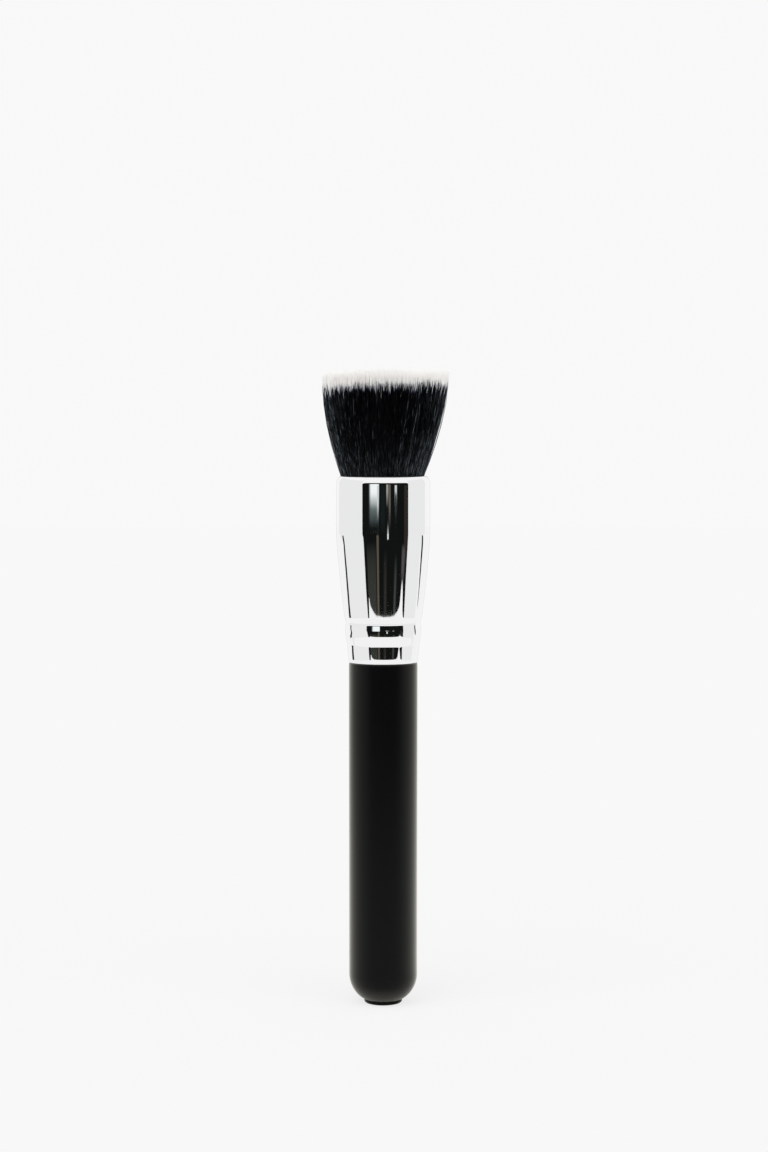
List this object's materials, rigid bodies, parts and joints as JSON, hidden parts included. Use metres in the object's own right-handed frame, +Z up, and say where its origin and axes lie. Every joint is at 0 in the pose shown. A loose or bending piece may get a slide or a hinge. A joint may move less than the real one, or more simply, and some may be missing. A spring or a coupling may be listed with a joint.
{
  "type": "foundation brush",
  "caption": "Flat-topped foundation brush: straight round handle on a small turned foot, tapered ferrule with crimped grooves, and a dense flared tuft with pale ends.",
  "frame": {"origin": "centre of the foot's flat face, where the upright brush stands", "axes": "+Z up along the brush from its foot to the tips of the tuft, -Y towards the front"},
  "size_m": [0.0311, 0.0309, 0.155],
  "materials": {
    "handle_lacquer": "turned wood under matte black lacquer",
    "ferrule_chrome": "mirror-bright chrome plate on drawn metal",
    "filament": "fine black synthetic filament with white ends",
    "potting_resin": "set amber resin",
    "wood_glue": "dried pale glue"
  },
  "bodies": {
    "root": {"handle": "handle_lacquer", "ferrule": "ferrule_chrome", "bristle_tuft": "filament", "epoxy_plug": "potting_resin", "tenon_adhesive": "wood_glue"}
  },
  "joints": []
}
